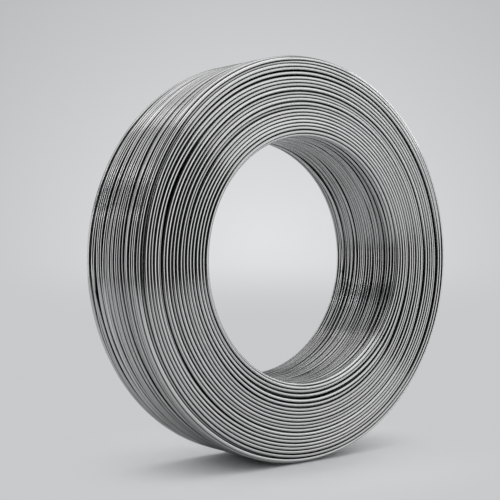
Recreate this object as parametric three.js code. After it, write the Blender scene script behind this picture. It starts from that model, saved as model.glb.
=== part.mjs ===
// A coil of round steel rod, standing on its rim with its axis level along Y.
//
// The rod is laid in flat layers square to the axis. Each layer is a spiral of touching turns, and
// every turn of the next layer lies in the groove between two turns of the one below. So the even
// layers reach half a rod further at the rim and into the bore than the odd ones, and the end faces
// are one whole layer each. The coil is one turned solid, and each turn that shows is a ridge on it.
import * as THREE from 'three';

// Driving sizes, in millimetres.
const ROD_DIAMETER = 5.5;
const BORE_DIAMETER = 400;
const TURNS_PER_LAYER = 24;
const LAYERS = 33;

// Turns that an end layer lacks at the rim and at the bore, which rounds the coil's edges.
const RIM_CORNER_TURNS = 2;
const BORE_CORNER_TURNS = 1;

// A ridge on the rim has a flat crest of this width, and the grooves between ridges reach this deep.
const CREST_FLAT = 2;
const GROOVE_DEPTH = ROD_DIAMETER / 2;

// Flat sides round the coil: a multiple of 4 puts one under it, above it and on each side.
const SIDES = 36;

// Sizes that follow from the way the rod is laid.
const layerPitch = (ROD_DIAMETER * Math.sqrt(3)) / 2;
const halfWidth = ((LAYERS - 1) * layerPitch + ROD_DIAMETER) / 2;
const boreRadius = BORE_DIAMETER / 2;
const rimRadius = boreRadius + TURNS_PER_LAYER * ROD_DIAMETER;

// A turn that shows: the radius and height along the axis of its crest, and the way it faces.
function crest(radius, height, outRadius, outHeight, flat = 0) {
  const at = new THREE.Vector2(radius, height);
  const out = new THREE.Vector2(outRadius, outHeight).normalize();
  return { at, out, flat };
}

// Layers from the end face to the first one that reaches the full radius beside a rounded corner.
function cornerLayers(missingTurns) {
  return 2 * Math.ceil(missingTurns / 2);
}

// The crests along the rim or the bore: every second layer, from the back of the coil to the front.
function sideCrests(radius, facing, missingTurns, flat) {
  const first = cornerLayers(missingTurns);
  const crests = [];
  for (let layer = first; layer <= LAYERS - 1 - first; layer += 2) {
    const height = (layer - (LAYERS - 1) / 2) * layerPitch;
    crests.push(crest(radius, height, facing, 0, flat));
  }
  return crests;
}

// The crests of an end layer, from the rim to the bore. Side is 1 or -1, the end that it is on.
function endCrests(side) {
  const crests = [];
  for (let turn = TURNS_PER_LAYER - 1 - RIM_CORNER_TURNS; turn >= BORE_CORNER_TURNS; turn -= 1) {
    crests.push(crest(boreRadius + (turn + 0.5) * ROD_DIAMETER, side * halfWidth, 0, side));
  }
  return crests;
}

// The crests between a side and an end: they lie on a quarter of an ellipse that is tangent to both,
// about one rod apart.
function cornerCrests(sideCrest, endCrest) {
  const centre = new THREE.Vector2(endCrest.at.x, sideCrest.at.y);
  const reach = new THREE.Vector2(sideCrest.at.x - centre.x, endCrest.at.y - centre.y);
  const steps = Math.round(reach.length() / ROD_DIAMETER);
  const crests = [];
  for (let step = 1; step < steps; step += 1) {
    const angle = (Math.PI / 2) * (step / steps);
    const across = Math.cos(angle);
    const along = Math.sin(angle);
    crests.push(
      crest(centre.x + reach.x * across, centre.y + reach.y * along, across / reach.x, along / reach.y),
    );
  }
  return crests;
}

// Every crest round the section, in order: rim, front end, bore, back end and the corners between.
function sectionCrests() {
  const rim = sideCrests(rimRadius, 1, RIM_CORNER_TURNS, CREST_FLAT);
  const bore = sideCrests(boreRadius, -1, BORE_CORNER_TURNS, 0).reverse();
  const front = endCrests(1);
  const back = endCrests(-1).reverse();
  return [
    ...rim,
    ...cornerCrests(rim.at(-1), front[0]),
    ...front,
    ...cornerCrests(bore[0], front.at(-1)).reverse(),
    ...bore,
    ...cornerCrests(bore.at(-1), back[0]),
    ...back,
    ...cornerCrests(rim[0], back.at(-1)).reverse(),
  ];
}

// The section's outline: up over each crest and down into the groove before the next.
function sectionOutline() {
  const crests = sectionCrests();
  const outline = [];
  crests.forEach((here, index) => {
    const next = crests[(index + 1) % crests.length];
    if (here.flat > 0) {
      outline.push(new THREE.Vector2(here.at.x, here.at.y - here.flat / 2));
      outline.push(new THREE.Vector2(here.at.x, here.at.y + here.flat / 2));
    } else {
      outline.push(here.at.clone());
    }
    const out = here.out.clone().add(next.out).normalize();
    outline.push(here.at.clone().add(next.at).multiplyScalar(0.5).addScaledVector(out, -GROOVE_DEPTH));
  });
  outline.push(outline[0].clone());
  return outline;
}

// The outline turned round the axis. Its corners stand out by 1 / cos, so that the flat sides, and
// not the corners between them, lie at the coil's radius.
function turnedCoil() {
  const cornerScale = 1 / Math.cos(Math.PI / SIDES);
  const outline = sectionOutline().map((point) => new THREE.Vector2(point.x * cornerScale, point.y));
  return new THREE.LatheGeometry(outline, SIDES, Math.PI / SIDES);
}

const brightSteel = new THREE.MeshStandardMaterial({ color: 0xa3a5a6, roughness: 0.3, metalness: 1 });

const rodCoil = new THREE.Mesh(turnedCoil(), brightSteel);
rodCoil.name = 'rod_coil';
rodCoil.position.z = rimRadius;

const coil = new THREE.Group();
coil.add(rodCoil);

export default coil;
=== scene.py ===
"""A coil of bright steel rod on its rim, in a plain studio.

The solid frame holds the coil as one turned solid. This script hides that solid behind the turns of
rod themselves: every turn that shows, and the turns just under it, is a closed round tube. All the
turns of the section are laid out first and pushed apart until they overlap little, at stations
round the coil, so the turns wander, sink and part a little as tightly wound rod does.

Lengths are in metres. The coil's axis is along Y, its front end faces -Y, and it stands on z = 0.
"""

import logging
import math
from dataclasses import dataclass, field
from enum import Enum

import bpy
import numpy as np
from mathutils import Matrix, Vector


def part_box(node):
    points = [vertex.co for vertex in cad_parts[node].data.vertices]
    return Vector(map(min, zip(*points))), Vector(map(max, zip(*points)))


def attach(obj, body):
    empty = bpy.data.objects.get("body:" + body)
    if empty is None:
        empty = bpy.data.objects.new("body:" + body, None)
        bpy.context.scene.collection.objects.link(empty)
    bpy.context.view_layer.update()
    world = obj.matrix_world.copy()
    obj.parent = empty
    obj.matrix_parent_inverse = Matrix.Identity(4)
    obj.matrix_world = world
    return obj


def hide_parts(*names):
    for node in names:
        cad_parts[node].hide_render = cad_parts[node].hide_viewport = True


LOG = logging.getLogger("rod_coil_scene")
NODE = "rod_coil"
SLOT = "bright_steel"
Tree = bpy.types.NodeTree
Node = bpy.types.Node
Socket = bpy.types.NodeSocket

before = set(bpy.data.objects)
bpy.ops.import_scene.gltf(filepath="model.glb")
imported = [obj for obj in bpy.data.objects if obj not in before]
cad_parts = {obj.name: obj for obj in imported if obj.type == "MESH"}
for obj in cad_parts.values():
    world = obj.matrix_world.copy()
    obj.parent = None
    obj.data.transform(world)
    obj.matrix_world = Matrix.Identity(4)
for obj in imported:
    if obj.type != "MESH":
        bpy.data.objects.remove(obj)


class Region(Enum):
    """The side of the coil's section that a turn of rod belongs to."""

    RIM = "rim_turns"
    BORE = "bore_turns"
    FRONT = "front_turns"
    BACK = "back_turns"


@dataclass
class CoilSection:
    """The coil's section: where the middle of each turn of rod lies, in radius and along the axis.

    Attributes:
        rod: The rod's diameter.
        bore_radius: The radius of the bore.
        build_up: The distance from bore to rim.
        width: The coil's width along its axis.
        turns: The turns from bore to rim in a full layer, with those that the corners lack.
        layers: The layers along the axis.
        rim_corner: How far the rounded corners at the rim reach, in radius and along the axis.
        bore_corner: The same for the corners at the bore.
        end_turns: The same for the layer at each end, where winding starts and stops.
        gap_waves: How unevenly a layer's spare room is shared among its gaps: the constant part,
            then the waves that go once, twice and more often round the coil. 0 is evenly.
        lean: How strongly a layer's turns are drawn together towards the rim or the bore, in the
            same parts.
        most_wave: The most that the waves and the lean come to together.
        edge_gap: How wide a layer's gaps to the rim and to the bore are against its other gaps.
        spacing: How far apart two turns' middles are pushed, in rod diameters.
        wander: How far a turn is moved along the axis at first, in the same parts and in rod
            diameters.
        calm_depth: How deep under the end faces a turn is first moved by all of that. Nearer to
            them it is moved by less, in proportion, because it would leave short holes there.
        sink: How far a turn's own limit lies inside the outline, in the same way.
        sink_mean: The mean of that, also in rod diameters; where it comes out negative it is 0.
        stations: The places round the coil where the section is worked out.
        rounds: The rounds of pushing the turns apart.
        seed: The seed of the random draws.
    """

    rod: float = 0.0055
    bore_radius: float = 0.200
    build_up: float = 0.132
    width: float = 0.1579
    turns: int = 23
    layers: int = 32
    rim_corner: tuple[float, float] = (0.01375, 0.0123)
    bore_corner: tuple[float, float] = (0.00825, 0.0123)
    end_turns: int = 22
    gap_waves: tuple[float, ...] = (0.1, 0.6, 0.7, 0.6, 0.4)
    lean: tuple[float, ...] = (0.2, 1.2, 1.0, 0.5)
    most_wave: float = 1.6
    edge_gap: float = 0.25
    spacing: float = 1.0
    wander: tuple[float, ...] = (0.23, 0.26, 0.24, 0.18)
    calm_depth: float = 0.0165
    sink: tuple[float, ...] = (0.30, 0.12, 0.10, 0.08)
    sink_mean: float = -0.10
    stations: int = 24
    rounds: int = 150
    seed: int = 3
    half_width: float = field(init=False)
    rim_radius: float = field(init=False)
    layer_pitch: float = field(init=False)
    turn_pitch: float = field(init=False)

    def __post_init__(self) -> None:
        """Works out the sizes that follow from the outline and the counts of turns and layers."""
        self.half_width = self.width / 2.0
        self.rim_radius = self.bore_radius + self.build_up
        self.layer_pitch = (self.width - self.rod) / (self.layers - 1)
        self.turn_pitch = (self.build_up - self.rod) / (self.turns - 1)

    def first_places(self, rng: np.random.Generator) -> np.ndarray:
        """Lays the turns side by side, layer by layer, without those that the corners lack.

        A layer's turns lie in a row from the bore outwards. The room that they leave is shared
        among the gaps in proportion to e raised to a slow wave of each gap's own, so a few gaps are
        wide and most are nearly shut, and which ones changes round the coil. The layer's lean is
        added to the waves, from minus the lean at the bore to plus the lean at the rim. The sum is
        held within the most: it comes to the most times the hyperbolic tangent of the sum over the
        most. Each second layer has one turn fewer and starts half a turn further out, so that its
        turns lie in the grooves of the layers beside it.

        Args:
            rng: The source of the random draws.

        Returns:
            The radius and the place along the axis of each turn: stations by turns by 2.
        """
        rows = []
        for layer in range(self.layers):
            start = 0.5 * self.turn_pitch * (layer % 2)
            is_end = layer in (0, self.layers - 1)
            turns = self.end_turns if is_end else self.turns - layer % 2
            room = self.build_up - 2.0 * start - turns * self.rod
            lean = self.slow_waves(self.lean, (1,), rng) * np.linspace(-1.0, 1.0, turns + 1)
            waves = (self.slow_waves(self.gap_waves, (turns + 1,), rng) + lean) / self.rod
            weight = np.exp(self.most_wave * np.tanh(waves / self.most_wave))
            weight[:, [0, -1]] *= self.edge_gap
            share = np.cumsum(weight, axis=1)[:, :-1] / weight.sum(axis=1, keepdims=True)
            radius = self.bore_radius + start + self.rod * (np.arange(turns) + 0.5) + room * share
            along = np.full_like(radius, (layer - (self.layers - 1) / 2.0) * self.layer_pitch)
            rows.append(np.stack([radius, along], axis=-1))
        places = np.concatenate(rows, axis=1)
        return places[:, ~self.beyond_corner(places.mean(axis=0))]

    def corner_reach(
        self, places: np.ndarray, at_rim: bool, margin: np.ndarray | float
    ) -> tuple[np.ndarray, ...]:
        """How far places lie into a corner: 1 where a place is its margin inside the outline.

        The corner is a quarter of an ellipse. The reach is the length of the place's distance from
        the ellipse's middle, each part of it divided by the ellipse's half axis less the margin.

        Args:
            places: Radius and place along the axis in the last dimension.
            at_rim: Whether it is the corner at the rim and not the one at the bore.
            margin: The distance kept from the outline, one for all or one for each place.

        Returns:
            The reach, and the middle's radius and distance along the axis, for use with the reach.
        """
        size = self.rim_corner if at_rim else self.bore_corner
        side = 1.0 if at_rim else -1.0
        middle_radius = (self.rim_radius if at_rim else self.bore_radius) - side * size[0]
        middle_along = self.half_width - size[1]
        across = side * (places[..., 0] - middle_radius)
        along = np.abs(places[..., 1]) - middle_along
        reach = np.hypot(across / (size[0] - margin), along / (size[1] - margin))
        reach = np.where((across > 0.0) & (along > 0.0), reach, 0.0)
        return reach, np.full_like(reach, middle_radius), np.full_like(reach, middle_along)

    def beyond_corner(self, places: np.ndarray) -> np.ndarray:
        """Which places lie outside the rounded corners.

        Args:
            places: Radius and place along the axis in the last dimension.

        Returns:
            A truth value for each place.
        """
        slack = 1.01
        rim = self.corner_reach(places, True, self.rod / 2.0)[0] > slack
        bore = self.corner_reach(places, False, self.rod / 2.0)[0] > slack
        return rim | bore

    def kept_inside(self, places: np.ndarray, sink: np.ndarray | float = 0.0) -> np.ndarray:
        """Moves places that lie outside the section's outline back onto it.

        Args:
            places: Radius and place along the axis in the last dimension.
            sink: How much further in each turn is held, beyond half a rod.

        Returns:
            The places, none further out than half a rod and its sink inside the outline.
        """
        margin = self.rod / 2.0 + sink
        radius = np.clip(places[..., 0], self.bore_radius + margin, self.rim_radius - margin)
        along = np.clip(places[..., 1], margin - self.half_width, self.half_width - margin)
        places = np.stack([radius, along], axis=-1)
        for at_rim in (True, False):
            reach, middle_radius, middle_along = self.corner_reach(places, at_rim, margin)
            shrink = 1.0 / np.maximum(reach, 1.0)
            outside = reach > 1.0
            radius = middle_radius + (places[..., 0] - middle_radius) * shrink
            along = np.sign(places[..., 1]) * (
                middle_along + (np.abs(places[..., 1]) - middle_along) * shrink
            )
            moved = np.stack([radius, along], axis=-1)
            places = np.where(outside[..., None], moved, places)
        return places

    def slow_waves(
        self, size: tuple[float, ...], shape: tuple[int, ...], rng: np.random.Generator
    ) -> np.ndarray:
        """Random numbers that change slowly round the coil.

        Each is a constant plus a wave that goes once round the coil, one that goes twice, and so
        on.

        Args:
            size: The spread of the constant and of each wave, in rod diameters.
            shape: The shape of the numbers wanted at one station.
            rng: The source of the random draws.

        Returns:
            The numbers at each station, in metres.
        """
        angle = np.arange(self.stations) / self.stations * 2.0 * np.pi
        angle = angle.reshape(-1, *([1] * len(shape)))
        result = np.zeros((self.stations, *shape)) + rng.normal(0.0, size[0] * self.rod, shape)
        for waves in range(1, len(size)):
            for wave in (np.cos(waves * angle), np.sin(waves * angle)):
                result += wave * rng.normal(0.0, size[waves] * self.rod, shape)
        return result

    def laid_turns(self) -> np.ndarray:
        """Lays out all the turns of the section, loosened, at each station round the coil.

        In each round every turn is pushed off the neighbours that it overlaps, by part of the
        overlap. Its shift from its first place is then drawn a little towards the mean of its
        shifts at the stations on both sides, which keeps the rod smooth, and the turn is put back
        inside the outline.

        Returns:
            The places at each station: stations by turns by 2.
        """
        near, push_share, stiffness, least = 18, 0.42, 0.15, 1e-9
        rng = np.random.default_rng(self.seed)
        places = self.first_places(rng)
        count = places.shape[1]
        mean = places.mean(axis=0)
        gaps = np.linalg.norm(mean[:, None] - mean[None], axis=2)
        neighbours = np.argsort(gaps, axis=1)[:, 1 : near + 1]
        sink = self.slow_waves(self.sink, (count,), rng) + self.sink_mean * self.rod
        sink = np.maximum(sink, 0.0)
        depth = self.half_width - np.abs(places[..., 1])
        wander = self.slow_waves(self.wander, (count,), rng)
        places[..., 1] += wander * np.minimum(depth / self.calm_depth, 1.0)
        first = self.kept_inside(places, sink)
        places = first
        for _ in range(self.rounds):
            apart = places[:, :, None, :] - places[:, neighbours, :]
            distance = np.sqrt((apart**2).sum(axis=-1)) + least
            overlap = np.maximum(self.spacing * self.rod - distance, 0.0)
            places = places + push_share * (apart * (overlap / distance)[..., None]).sum(axis=2)
            shift = places - first
            beside = 0.5 * (np.roll(shift, 1, axis=0) + np.roll(shift, -1, axis=0))
            places = self.kept_inside(places + stiffness * (beside - shift), sink)
        apart = np.linalg.norm(places[:, :, None] - places[:, neighbours], axis=-1)
        overlap = np.maximum(1.0 - apart / self.rod, 0.0)
        LOG.info(
            "overlap in rod diameters: mean %.3f, 99th of 100 %.3f, most %.3f",
            overlap.mean(), np.percentile(overlap, 99), overlap.max(),
        )
        return places

    def openness(self, places: np.ndarray, chosen: np.ndarray, sides: int) -> np.ndarray:
        """How open each point of the chosen turns' skins is to what lies outside the coil.

        From each point a fan of rays leaves in the plane of the section, spread evenly over the
        half circle that the point faces. A ray is blocked where it runs towards another turn and
        passes its middle by less than half a rod. The openness is the share of the fan that is
        free, each ray weighed by the cosine of its slant.

        Args:
            places: All the turns, stations by turns by 2.
            chosen: Which of them are wanted.
            sides: The points round the rod.

        Returns:
            Stations by chosen turns by sides, from 0 to 1.
        """
        # The result sets where the steel's painted shade between turns falls.
        rays, near = 15, 14
        half = self.rod / 2.0
        middles = places[:, chosen]
        gaps = np.linalg.norm(places[0][chosen][:, None] - places[0][None], axis=2)
        neighbours = np.argsort(gaps, axis=1)[:, 1 : near + 1]
        others = places[:, neighbours]
        facing = np.arange(sides) / sides * 2.0 * np.pi
        slant = (np.arange(rays) + 0.5) / rays * np.pi - np.pi / 2.0
        outward = np.stack([np.cos(facing), np.sin(facing)], axis=-1)
        heading = facing[:, None] + slant
        ray = np.stack([np.cos(heading), np.sin(heading)], axis=-1)
        point = middles[:, :, None] + half * outward
        to_other = others[:, :, None] - point[:, :, :, None]
        forward = np.einsum("ktsnc,src->ktsnr", to_other, ray)
        across = np.stack([-ray[..., 1], ray[..., 0]], axis=-1)
        aside = np.abs(np.einsum("ktsnc,src->ktsnr", to_other, across))
        blocked = ((forward > 0.0) & (aside < half)).any(axis=3)
        weight = np.cos(slant)
        return ((~blocked) * weight).sum(axis=-1) / weight.sum()

    def depth(self, places: np.ndarray) -> np.ndarray:
        """How deep each place lies under the section's outline, corners taken as chamfers.

        Args:
            places: Radius and place along the axis in the last dimension.

        Returns:
            The depth of each place, in metres.
        """
        to_sides = np.stack(
            [
                self.rim_radius - places[..., 0],
                places[..., 0] - self.bore_radius,
                places[..., 1] + self.half_width,
                self.half_width - places[..., 1],
            ],
            axis=-1,
        )
        depth = to_sides.min(axis=-1)
        for at_rim, size in ((True, self.rim_corner), (False, self.bore_corner)):
            half = self.rod / 2.0
            reach = self.corner_reach(places, at_rim, half)[0]
            mean_size = (size[0] + size[1]) / 2.0
            from_corner = (1.0 - reach) * (mean_size - half) + half
            depth = np.where(reach > 0.0, np.minimum(depth, from_corner), depth)
        return depth

    def region(self, place: np.ndarray) -> np.ndarray:
        """The side of the section that each place lies nearest to.

        Args:
            place: Radius and place along the axis, one row a turn.

        Returns:
            For each place the index of its side in the order of Region.
        """
        to_sides = [
            self.rim_radius - place[:, 0],
            place[:, 0] - self.bore_radius,
            place[:, 1] + self.half_width,
            self.half_width - place[:, 1],
        ]
        return np.argmin(np.stack(to_sides), axis=0)


@dataclass
class TurnMesher:
    """Turns places in the section into round tubes that close on themselves.

    Attributes:
        axis_height: The height of the coil's axis above the floor.
        section: The layout of the turns.
    """

    axis_height: float
    section: CoilSection

    def round_the_coil(self, values: np.ndarray, segments: int) -> np.ndarray:
        """Fills in values between the stations with a smooth periodic curve.

        The curve is the sum of waves that passes through every station: its Fourier series, read
        at more angles.

        Args:
            values: The values, with the stations in the first dimension.
            segments: The angles wanted.

        Returns:
            The values, with the segments in the first dimension.
        """
        waves = np.fft.rfft(values, axis=0)
        return np.fft.irfft(waves, n=segments, axis=0) * (segments / values.shape[0])

    def points(self, places: np.ndarray, segments: int, sides: int) -> np.ndarray:
        """The points of the tubes' skins.

        A point is the turn's middle, plus half a rod times the outward direction at its angle
        round the rod: cosine times the radial direction plus sine times the axis. The radial
        direction at an angle round the coil is (cosine, 0, sine).

        Args:
            places: Stations by turns by 2.
            segments: The points round the coil.
            sides: The points round the rod.

        Returns:
            Turns by segments by sides by 3.
        """
        middles = self.section.kept_inside(self.round_the_coil(places, segments))
        middles = middles.transpose(1, 0, 2)
        turn = np.arange(segments) / segments * 2.0 * np.pi - np.pi / 2.0
        round_rod = np.arange(sides) / sides * 2.0 * np.pi
        half = self.section.rod / 2.0
        radius = middles[:, :, None, 0] + half * np.cos(round_rod)
        along = middles[:, :, None, 1] + half * np.sin(round_rod)
        across = radius * np.cos(turn)[None, :, None]
        height = radius * np.sin(turn)[None, :, None] + self.axis_height
        return np.stack([across, along, height], axis=-1)

    def faces(self, turns: int, segments: int, sides: int) -> np.ndarray:
        """The corners of the four-sided faces between neighbouring points, all facing outwards.

        Args:
            turns: The number of tubes.
            segments: The points round the coil.
            sides: The points round the rod.

        Returns:
            One row of four point indices a face.
        """
        index = np.arange(turns * segments * sides).reshape(turns, segments, sides)
        ahead = np.roll(index, -1, axis=1)
        beside = np.roll(index, -1, axis=2)
        both = np.roll(ahead, -1, axis=2)
        return np.stack([index, beside, both, ahead], axis=-1).reshape(-1, 4)

    def build(
        self, name: str, places: np.ndarray, chosen: np.ndarray, segments: int, sides: int
    ) -> bpy.types.Object:
        """Makes one object of the chosen turns.

        Each face's corners carry a UV: the share of the way round the coil and round the rod. Each
        turn has its own random shade in the attribute turn_shade, drawn with the sum of the name's
        bytes as the seed, and each point how open it is in the attribute openness.

        Args:
            name: The object's name.
            places: All the turns, stations by turns by 2.
            chosen: Which of them the object has.
            segments: The points round the coil.
            sides: The points round the rod.

        Returns:
            The new object.
        """
        turns = int(chosen.sum())
        points = self.points(places[:, chosen], segments, sides).reshape(-1, 3)
        faces = self.faces(turns, segments, sides)
        mesh = bpy.data.meshes.new(name)
        mesh.vertices.add(len(points))
        mesh.vertices.foreach_set("co", points.astype(np.float32).ravel())
        mesh.loops.add(faces.size)
        mesh.loops.foreach_set("vertex_index", faces.astype(np.int32).ravel())
        mesh.polygons.add(len(faces))
        mesh.polygons.foreach_set("loop_start", np.arange(0, faces.size, 4, dtype=np.int32))
        mesh.polygons.foreach_set("use_smooth", np.ones(len(faces), dtype=bool))
        self.write_uv(mesh, turns, segments, sides)
        rng = np.random.default_rng(sum(name.encode()))
        self.write_points(mesh, "turn_shade", np.repeat(rng.random(turns), segments * sides))
        # Openness drives the steel's painted shade between turns.
        openness = self.section.openness(places, chosen, sides)
        openness = self.round_the_coil(openness, segments).transpose(1, 0, 2)
        self.write_points(mesh, "openness", np.clip(openness, 0.0, 1.0).ravel())
        mesh.update(calc_edges=True)
        mesh.validate()
        piece = bpy.data.objects.new(name, mesh)
        bpy.context.collection.objects.link(piece)
        return piece

    def write_uv(self, mesh: bpy.types.Mesh, turns: int, segments: int, sides: int) -> None:
        """Writes the share of the way round the coil and round the rod as the mesh's UV map.

        Args:
            mesh: The tubes' mesh.
            turns: The number of tubes.
            segments: The points round the coil.
            sides: The points round the rod.
        """
        segment, side = np.meshgrid(np.arange(segments), np.arange(sides), indexing="ij")
        corners = [(0, 0), (0, 1), (1, 1), (1, 0)]
        uv = np.stack(
            [
                np.stack([(segment + ahead) / segments, (side + beside) / sides], axis=-1)
                for ahead, beside in corners
            ],
            axis=2,
        )
        uv = np.tile(uv.reshape(-1), turns).astype(np.float32)
        layer = mesh.uv_layers.new(name="UVMap")
        layer.data.foreach_set("uv", uv)

    def write_points(self, mesh: bpy.types.Mesh, name: str, values: np.ndarray) -> None:
        """Gives each point of the mesh a number, as an attribute.

        Args:
            mesh: The tubes' mesh.
            name: The attribute's name.
            values: One number a point.
        """
        attribute = mesh.attributes.new(name, "FLOAT", "POINT")
        attribute.data.foreach_set("value", values.astype(np.float32))


@dataclass(frozen=True)
class BrightSteel:
    """Clean drawn steel: a mirror-like grey with fine lines drawn along the rod.

    Attributes:
        name: The material's name.
        light: The metal's colour where it is cleanest.
        dull: Its colour where a thin film of oil and handling dulls it.
        groove_shade: Painted shade between two turns: the colour where other turns close the skin
            in.
        roughness: The least and greatest roughness.
        die_grain: The grains of the drawn lines round the coil and round the rod.
        patch_grain: The same for the dull patches.
        grain_detail: How much finer grain both carry.
        turn_step: How far apart in the noise two turns lie whose random numbers differ by 1.
        turn_share: How much of a turn's dullness is its own, beside the patches.
        dull_range: The dullness at which the colour is light, and that at which it is dull.
        patch_range: The patch values that give the least and the greatest roughness.
        shade_open_range: The openness at which the painted shade between turns is full, and that at
            which there is none.
        line_strength: How strongly the drawn lines tilt the surface.
        line_depth: Their depth.
    """

    name: str = SLOT
    light: tuple[float, float, float] = (0.605, 0.605, 0.605)
    dull: tuple[float, float, float] = (0.455, 0.455, 0.455)
    groove_shade: tuple[float, float, float] = (0.05, 0.05, 0.05)
    roughness: tuple[float, float] = (0.10, 0.18)
    die_grain: tuple[float, float] = (2.0, 40.0)
    patch_grain: tuple[float, float] = (4.0, 0.6)
    grain_detail: float = 1.0
    turn_step: float = 97.0
    turn_share: float = 0.5
    dull_range: tuple[float, float] = (0.35, 1.15)
    patch_range: tuple[float, float] = (0.3, 0.7)
    shade_open_range: tuple[float, float] = (0.45, 1.0)
    line_strength: float = 0.02
    line_depth: float = 0.00004

    def build(self) -> bpy.types.Material:
        """Makes the material.

        Returns:
            The new material.
        """
        material = bpy.data.materials.new(self.name)
        material.use_nodes = True
        tree = material.node_tree
        steel = tree.nodes["Principled BSDF"]
        steel.inputs["Metallic"].default_value = 1.0
        uv = tree.nodes.new("ShaderNodeUVMap")
        uv.uv_map = "UVMap"
        shade = tree.nodes.new("ShaderNodeAttribute")
        shade.attribute_name = "turn_shade"
        die_lines = self.noise(tree, uv, shade, self.die_grain)
        patches = self.noise(tree, uv, shade, self.patch_grain)
        dullness = tree.nodes.new("ShaderNodeMath")
        dullness.operation = "MULTIPLY_ADD"
        tree.links.new(shade.outputs["Fac"], dullness.inputs[0])
        dullness.inputs[1].default_value = self.turn_share
        tree.links.new(patches, dullness.inputs[2])
        colour = tree.nodes.new("ShaderNodeMix")
        colour.data_type = "RGBA"
        colour.inputs["A"].default_value = (*self.light, 1.0)
        colour.inputs["B"].default_value = (*self.dull, 1.0)
        film = self.ranged(tree, dullness.outputs[0], self.dull_range)
        tree.links.new(film, colour.inputs[0])
        # Painted shade between turns: the colour darkens where the openness attribute says other
        # turns close the skin in.
        openness = tree.nodes.new("ShaderNodeAttribute")
        openness.attribute_name = "openness"
        groove_shaded = tree.nodes.new("ShaderNodeMix")
        groove_shaded.data_type = "RGBA"
        groove_shaded.inputs["A"].default_value = (*self.groove_shade, 1.0)
        tree.links.new(colour.outputs["Result"], groove_shaded.inputs["B"])
        unshaded = self.ranged(tree, openness.outputs["Fac"], self.shade_open_range)
        tree.links.new(unshaded, groove_shaded.inputs[0])
        tree.links.new(groove_shaded.outputs["Result"], steel.inputs["Base Color"])
        rough = self.ranged(tree, patches, self.patch_range, self.roughness)
        tree.links.new(rough, steel.inputs["Roughness"])
        bump = tree.nodes.new("ShaderNodeBump")
        bump.inputs["Strength"].default_value = self.line_strength
        bump.inputs["Distance"].default_value = self.line_depth
        tree.links.new(die_lines, bump.inputs["Height"])
        tree.links.new(bump.outputs["Normal"], steel.inputs["Normal"])
        return material

    def noise(self, tree: Tree, uv: Node, shade: Node, scale: tuple[float, float]) -> Socket:
        """A noise drawn out along the rod, different on every turn.

        Args:
            tree: The material's nodes.
            uv: The node that gives the way round the coil and round the rod.
            shade: The node that gives each turn's random number.
            scale: The noise's grains round the coil and round the rod.

        Returns:
            The noise's value.
        """
        stretch = tree.nodes.new("ShaderNodeMapping")
        stretch.inputs["Scale"].default_value = (*scale, 1.0)
        tree.links.new(uv.outputs["UV"], stretch.inputs["Vector"])
        own = tree.nodes.new("ShaderNodeMath")
        own.operation = "MULTIPLY"
        own.inputs[1].default_value = self.turn_step
        tree.links.new(shade.outputs["Fac"], own.inputs[0])
        grain = tree.nodes.new("ShaderNodeTexNoise")
        grain.noise_dimensions = "4D"
        grain.inputs["Scale"].default_value = 1.0
        grain.inputs["Detail"].default_value = self.grain_detail
        tree.links.new(stretch.outputs["Vector"], grain.inputs["Vector"])
        tree.links.new(own.outputs[0], grain.inputs["W"])
        return grain.outputs["Fac"]

    def ranged(
        self,
        tree: Tree,
        value: Socket,
        source: tuple[float, float],
        target: tuple[float, float] = (0.0, 1.0),
    ) -> Socket:
        """Maps a value from one range to another.

        Args:
            tree: The material's nodes.
            value: The value to map.
            source: The values that give the first and the last result.
            target: The first and the last result.

        Returns:
            The mapped value.
        """
        ranged = tree.nodes.new("ShaderNodeMapRange")
        tree.links.new(value, ranged.inputs["Value"])
        ranged.inputs["From Min"].default_value, ranged.inputs["From Max"].default_value = source
        ranged.inputs["To Min"].default_value, ranged.inputs["To Max"].default_value = target
        return ranged.outputs["Result"]


@dataclass
class RodCoil:
    """The coil: its turns that show and, in less detail, the turns under them.

    Turns that lie deeper can't be seen through any gap and are left out.

    Attributes:
        section: The layout of the turns.
        steel: The rod's finish.
        shown_detail: Points round the coil and round the rod, for turns that show.
        under_detail: The same for the turns under those.
        shown_depth: A turn shows whose middle anywhere comes nearer to the outline than this many
            rod diameters.
        under_depth: A turn is made at all whose middle comes nearer than this.
    """

    section: CoilSection = field(default_factory=CoilSection)
    steel: BrightSteel = field(default_factory=BrightSteel)
    shown_detail: tuple[int, int] = (180, 12)
    under_detail: tuple[int, int] = (96, 6)
    shown_depth: float = 1.05
    under_depth: float = 2.6

    def build(self) -> list[bpy.types.Object]:
        """Makes all of the coil's pieces, dresses them and fits them to the frame.

        Returns:
            The new objects.
        """
        low, high = (np.array(corner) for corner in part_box(NODE))
        axis_height = float(low[2] + high[2]) / 2.0
        section = self.section
        mesher = TurnMesher(axis_height=axis_height, section=section)
        places = section.laid_turns()
        depth = section.depth(places).min(axis=0) / section.rod
        region = section.region(places.mean(axis=0))
        shown = depth < self.shown_depth
        under = ~shown & (depth < self.under_depth)
        LOG.info("turns in all %d, shown %d, under %d", len(depth), shown.sum(), under.sum())
        pieces = []
        for index, side in enumerate(Region):
            chosen = shown & (region == index)
            pieces.append(mesher.build(side.value, places, chosen, *self.shown_detail))
        pieces.append(mesher.build("inner_turns", places, under, *self.under_detail))
        finish = self.steel.build()
        for piece in pieces:
            piece.data.materials.append(finish)
            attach(piece, "root")
            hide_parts(NODE)
        return pieces


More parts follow.
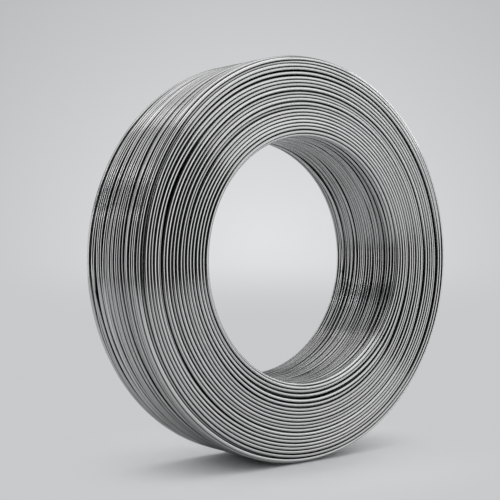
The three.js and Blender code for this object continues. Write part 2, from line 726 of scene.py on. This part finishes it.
@dataclass(frozen=True)
class StudioPaint:
    """The finish of floor and wall: pale paint round the coil and a glowing backdrop further out.

    The paint takes the coil's shadow. The backdrop shows its own light and lights nothing. To the
    camera it lies all round the coil. In the steel it shows only behind the coil; on the camera's
    side the paint is painted shade, near black, standing for the unlit part of a studio.

    Attributes:
        floor: The colour of the paint.
        painted_unlit: The colour of the paint on the camera's side: painted shade for the unlit
            part of a studio.
        glow: The backdrop's colour in the middle of the glow.
        dim: Its colour at the glow's reach.
        level: Its colour on the floor.
        reach: The distance from the glow's middle at which the backdrop is dim.
        rise: The heights between which the floor's colour gives way to the wall's.
        unlit_band: Where the paint turns from the painted shade to pale, in metres from the coil
            along the view.
        backdrop_band: Where the paint gives way to the backdrop for the camera, in metres from the
            middle of the coil.
        steel_band: Where it does so for the steel, in metres behind the coil.
        roughness: The paint's roughness.
        specular: How much the paint mirrors.
    """

    floor: tuple[float, float, float] = (0.90, 0.91, 0.92)
    painted_unlit: tuple[float, float, float] = (0.05, 0.05, 0.052)
    glow: tuple[float, float, float] = (0.757, 0.77, 0.783)
    dim: tuple[float, float, float] = (0.48, 0.487, 0.494)
    level: tuple[float, float, float] = (0.58, 0.588, 0.60)
    reach: float = 2.0
    rise: tuple[float, float] = (0.0, 0.25)
    unlit_band: tuple[float, float] = (-2.2, -1.0)
    backdrop_band: tuple[float, float] = (0.05, 0.4)
    steel_band: tuple[float, float] = (0.25, 1.4)
    roughness: float = 0.9
    specular: float = 0.1

    def build(
        self, toward_wall: tuple[float, float], glow_middle: tuple[float, float, float]
    ) -> bpy.types.Material:
        """Makes the finish.

        Args:
            toward_wall: The level direction from the coil to the wall behind it.
            glow_middle: The point on the wall where the glow is brightest.

        Returns:
            The new material.
        """
        material = bpy.data.materials.new("studio_paint")
        material.use_nodes = True
        tree = material.node_tree
        paint = tree.nodes["Principled BSDF"]
        paint.inputs["Roughness"].default_value = self.roughness
        paint.inputs["Specular IOR Level"].default_value = self.specular
        place = tree.nodes.new("ShaderNodeTexCoord")
        ahead = tree.nodes.new("ShaderNodeVectorMath")
        ahead.operation = "DOT_PRODUCT"
        ahead.inputs[1].default_value = (*toward_wall, 0.0)
        tree.links.new(place.outputs["Object"], ahead.inputs[0])
        # Painted shade: near black on the camera's side, pale behind the coil.
        pale_side = self.eased(tree, ahead.outputs["Value"], self.unlit_band)
        colour = self.mixed(tree, pale_side, self.painted_unlit, self.floor)
        tree.links.new(colour, paint.inputs["Base Color"])
        backdrop = tree.nodes.new("ShaderNodeEmission")
        away = tree.nodes.new("ShaderNodeVectorMath")
        away.operation = "DISTANCE"
        away.inputs[1].default_value = glow_middle
        tree.links.new(place.outputs["Object"], away.inputs[0])
        dimming = tree.nodes.new("ShaderNodeMapRange")
        dimming.inputs["From Max"].default_value = self.reach
        tree.links.new(away.outputs["Value"], dimming.inputs["Value"])
        glow = self.mixed(tree, dimming.outputs["Result"], self.glow, self.dim)
        height = tree.nodes.new("ShaderNodeSeparateXYZ")
        tree.links.new(place.outputs["Object"], height.inputs[0])
        on_wall = self.eased(tree, height.outputs["Z"], self.rise)
        tree.links.new(self.mixed(tree, on_wall, self.level, glow), backdrop.inputs["Color"])
        share = self.backdrop_share(tree, place, ahead.outputs["Value"])
        finish = tree.nodes.new("ShaderNodeMixShader")
        tree.links.new(share, finish.inputs[0])
        tree.links.new(paint.outputs["BSDF"], finish.inputs[1])
        tree.links.new(backdrop.outputs["Emission"], finish.inputs[2])
        tree.links.new(finish.outputs[0], tree.nodes["Material Output"].inputs["Surface"])
        return material

    def backdrop_share(self, tree: Tree, place: Node, ahead: Socket) -> Socket:
        """How much of the backdrop shows: by distance to the camera, and by depth in the steel.

        Args:
            tree: The material's nodes.
            place: The node that gives the place on the floor or the wall.
            ahead: How far that place lies behind the coil along the view.

        Returns:
            The share, from 0 for paint to 1 for backdrop.
        """
        level = tree.nodes.new("ShaderNodeVectorMath")
        level.operation = "MULTIPLY"
        level.inputs[1].default_value = (1.0, 1.0, 0.0)
        tree.links.new(place.outputs["Object"], level.inputs[0])
        distance = tree.nodes.new("ShaderNodeVectorMath")
        distance.operation = "LENGTH"
        tree.links.new(level.outputs["Vector"], distance.inputs[0])
        ray = tree.nodes.new("ShaderNodeLightPath").outputs
        all_round = self.eased(tree, distance.outputs["Value"], self.backdrop_band)
        to_camera = self.combined(tree, "MULTIPLY", ray["Is Camera Ray"], all_round)
        mirrored = self.combined(tree, "MAXIMUM", ray["Is Glossy Ray"], ray["Is Transmission Ray"])
        behind = self.eased(tree, ahead, self.steel_band)
        to_steel = self.combined(tree, "MULTIPLY", mirrored, behind)
        return self.combined(tree, "MAXIMUM", to_camera, to_steel)

    def eased(self, tree: Tree, value: Socket, band: tuple[float, float]) -> Socket:
        """Turns a value into 0 before a band and 1 after it, with a smooth change between.

        Args:
            tree: The material's nodes.
            value: The value to turn.
            band: Where the band starts and ends.

        Returns:
            The eased value.
        """
        eased = tree.nodes.new("ShaderNodeMapRange")
        eased.interpolation_type = "SMOOTHSTEP"
        eased.inputs["From Min"].default_value, eased.inputs["From Max"].default_value = band
        tree.links.new(value, eased.inputs["Value"])
        return eased.outputs["Result"]

    def mixed(
        self,
        tree: Tree,
        share: Socket,
        first: tuple[float, float, float],
        second: tuple[float, float, float] | Socket,
    ) -> Socket:
        """Mixes two colours: the first where the share is 0 and the second where it is 1.

        Args:
            tree: The material's nodes.
            share: How much of the second colour shows.
            first: The first colour.
            second: The second, as a colour or as another node's result.

        Returns:
            The mixed colour.
        """
        mixed = tree.nodes.new("ShaderNodeMix")
        mixed.data_type = "RGBA"
        mixed.inputs["A"].default_value = (*first, 1.0)
        if isinstance(second, tuple):
            mixed.inputs["B"].default_value = (*second, 1.0)
        else:
            tree.links.new(second, mixed.inputs["B"])
        tree.links.new(share, mixed.inputs[0])
        return mixed.outputs["Result"]

    def combined(self, tree: Tree, operation: str, first: Socket, second: Socket) -> Socket:
        """Works out one value from two.

        Args:
            tree: The material's nodes.
            operation: The Math node's operation.
            first: The first value.
            second: The second value.

        Returns:
            The operation's result.
        """
        node = tree.nodes.new("ShaderNodeMath")
        node.operation = operation
        tree.links.new(first, node.inputs[0])
        tree.links.new(second, node.inputs[1])
        return node.outputs[0]


class LampShape(Enum):
    """The outline of a soft box."""

    UPRIGHT = "RECTANGLE"
    OVAL = "ELLIPSE"


@dataclass(frozen=True)
class SoftBox:
    """An evenly bright panel that faces the middle of the coil.

    Attributes:
        name: The lamp's name.
        heading: Its direction from the coil on the floor plan, in degrees from +X towards +Y.
        rise: Its direction above the horizon, in degrees.
        distance: Its distance from the middle of the coil.
        size: Its width and height.
        radiance: How bright it is to look at, where 1 is white.
        shape: Its outline. The steel's lines end softly where an oval ends.
    """

    name: str
    heading: float
    rise: float
    distance: float
    size: tuple[float, float]
    radiance: float
    shape: LampShape = LampShape.UPRIGHT

    def area(self) -> float:
        """The panel's area: width by height, and pi / 4 of that for an oval."""
        share = math.pi / 4.0 if self.shape is LampShape.OVAL else 1.0
        return share * self.size[0] * self.size[1]

    def build(self, middle: tuple[float, float, float]) -> None:
        """Adds the lamp, whose power is pi times its area times its radiance.

        Args:
            middle: The point that the lamp faces.
        """
        data = bpy.data.lights.new(self.name, "AREA")
        data.shape = self.shape.value
        data.size, data.size_y = self.size
        data.energy = math.pi * self.area() * self.radiance
        heading, rise = math.radians(self.heading), math.radians(self.rise)
        level = math.cos(rise)
        away = Vector((level * math.cos(heading), level * math.sin(heading), math.sin(rise)))
        lamp = bpy.data.objects.new(self.name, data)
        lamp.location = Vector(middle) + self.distance * away
        lamp.rotation_euler = (-away).to_track_quat("-Z", "Y").to_euler()
        lamp.visible_camera = False
        bpy.context.collection.objects.link(lamp)


@dataclass
class Studio:
    """The camera, the round sweep of floor and wall, the faint sky and the soft boxes.

    Attributes:
        azimuth: The camera's direction round the coil, in degrees. 0 looks along +Y.
        elevation: Its height above the horizon, in degrees.
        distance: Its distance from the point that it aims at.
        aim: The point that the middle of the picture shows.
        lens: The focal length, in millimetres.
        sensor: The sensor's width, in millimetres.
        floor_radius: The radius of the level floor.
        sweep_radius: The radius of the curve between floor and wall.
        wall_height: The height of the wall's top.
        floor_rings: The rings of faces on the level floor.
        curve_rings: The rings of faces on the curve.
        around: The faces in each ring.
        coil_middle: The point that the lamps face.
        glow_middle: The point on the wall where the backdrop glows most.
        sky: How bright the sky over the studio is to look at, where 1 is white.
        boxes: The lamps.
    """

    azimuth: float = -38.4
    elevation: float = 0.93
    distance: float = 1.80
    aim: tuple[float, float, float] = (-0.0388, 0.0311, 0.3471)
    lens: float = 76.75
    sensor: float = 36.0
    floor_radius: float = 2.4
    sweep_radius: float = 1.4
    wall_height: float = 4.0
    floor_rings: int = 12
    curve_rings: int = 16
    around: int = 96
    coil_middle: tuple[float, float, float] = (0.0, 0.0, 0.332)
    glow_middle: tuple[float, float, float] = (2.1, 2.63, 0.3)
    sky: float = 0.015
    boxes: tuple[SoftBox, ...] = (
        SoftBox("right_box", 304.0, 17.0, 2.5, (3.2, 2.1), 1.0),
        SoftBox("front_high_box", 298.0, 52.5, 2.57, (2.8, 1.14), 1.2),
        SoftBox("overhead_box", 0.0, 90.0, 2.57, (3.0, 3.0), 1.6, LampShape.OVAL),
        SoftBox("left_high_box", 154.0, 50.0, 2.57, (2.3, 1.8), 1.2, LampShape.OVAL),
        SoftBox("left_strip", 166.0, 28.5, 2.57, (0.25, 1.05), 5.0),
        SoftBox("back_left_box", 136.0, 5.0, 2.4, (1.0, 1.0), 1.4),
        SoftBox("back_right_box", 4.0, 28.5, 2.57, (0.95, 1.05), 3.1),
    )

    def toward_wall(self) -> tuple[float, float]:
        """The level direction in which the camera looks."""
        turn = math.radians(self.azimuth)
        return (-math.sin(turn), math.cos(turn))

    def add_camera(self) -> None:
        """Puts the camera in its place and makes it the scene's."""
        data = bpy.data.cameras.new("camera")
        data.lens = self.lens
        data.sensor_width = self.sensor
        camera = bpy.data.objects.new("camera", data)
        turn, rise = math.radians(self.azimuth), math.radians(self.elevation)
        back = np.array(
            [math.sin(turn) * math.cos(rise), -math.cos(turn) * math.cos(rise), math.sin(rise)]
        )
        camera.location = tuple(np.array(self.aim) + self.distance * back)
        camera.rotation_euler = (math.pi / 2.0 - rise, 0.0, turn)
        bpy.context.collection.objects.link(camera)
        bpy.context.scene.camera = camera

    def sweep_profile(self) -> np.ndarray:
        """The floor and wall in section: a level line, a quarter of a circle and a plumb line.

        Returns:
            Radius and height, one row a point, from the middle of the floor outwards.
        """
        arc = np.linspace(0.0, np.pi / 2.0, self.curve_rings + 1)[1:]
        radius = np.linspace(0.0, self.floor_radius, self.floor_rings + 1)[1:]
        floor = np.stack([radius, np.zeros_like(radius)], axis=1)
        curve = np.stack(
            [
                self.floor_radius + self.sweep_radius * np.sin(arc),
                self.sweep_radius * (1.0 - np.cos(arc)),
            ],
            axis=1,
        )
        top = np.array([[self.floor_radius + self.sweep_radius, self.wall_height]])
        return np.concatenate([floor, curve, top])

    def add_sweep(self) -> None:
        """Turns the profile round the upright axis, adds the floor's middle and paints it."""
        around = self.around
        profile = self.sweep_profile()
        angle = np.arange(around) / around * 2.0 * np.pi
        ring = np.stack([np.cos(angle), np.sin(angle)], axis=1)
        level = profile[:, None, :1] * ring[None]
        height = np.broadcast_to(profile[:, None, 1:], (len(profile), around, 1))
        points = np.concatenate([level, height], axis=2).reshape(-1, 3)
        index = np.arange(len(profile) * around).reshape(len(profile), around)
        beside = np.roll(index, -1, axis=1)
        faces = np.stack([index[:-1], index[1:], beside[1:], beside[:-1]], axis=-1).reshape(-1, 4)
        middle = len(points)
        fan = np.stack([np.full(around, middle), index[0], beside[0]], axis=1)
        points = np.concatenate([points, [[0.0, 0.0, 0.0]]])
        mesh = bpy.data.meshes.new("sweep")
        mesh.from_pydata(points.tolist(), [], faces.tolist() + fan.tolist())
        mesh.polygons.foreach_set("use_smooth", np.ones(len(mesh.polygons), dtype=bool))
        sweep = bpy.data.objects.new("sweep", mesh)
        sweep.data.materials.append(StudioPaint().build(self.toward_wall(), self.glow_middle))
        bpy.context.collection.objects.link(sweep)

    def add_light(self) -> None:
        """Lights the studio with a faint sky and the soft boxes."""
        world = bpy.data.worlds.new("faint_sky")
        world.use_nodes = True
        world.node_tree.nodes["Background"].inputs["Color"].default_value = (1.0, 1.0, 1.0, 1.0)
        world.node_tree.nodes["Background"].inputs["Strength"].default_value = self.sky
        bpy.context.scene.world = world
        for box in self.boxes:
            box.build(self.coil_middle)

    def build(self) -> None:
        """Sets up the view and makes the camera, the sweep and the light."""
        bpy.context.scene.view_settings.view_transform = "Standard"
        self.add_camera()
        self.add_sweep()
        self.add_light()


def main() -> None:
    """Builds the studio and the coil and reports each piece."""
    logging.basicConfig(level=logging.INFO, format="%(name)s: %(message)s")
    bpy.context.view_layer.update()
    Studio().build()
    for piece in RodCoil().build():
        LOG.info("%s: %d faces", piece.name, len(piece.data.polygons))


if __name__ == "__main__":
    main()
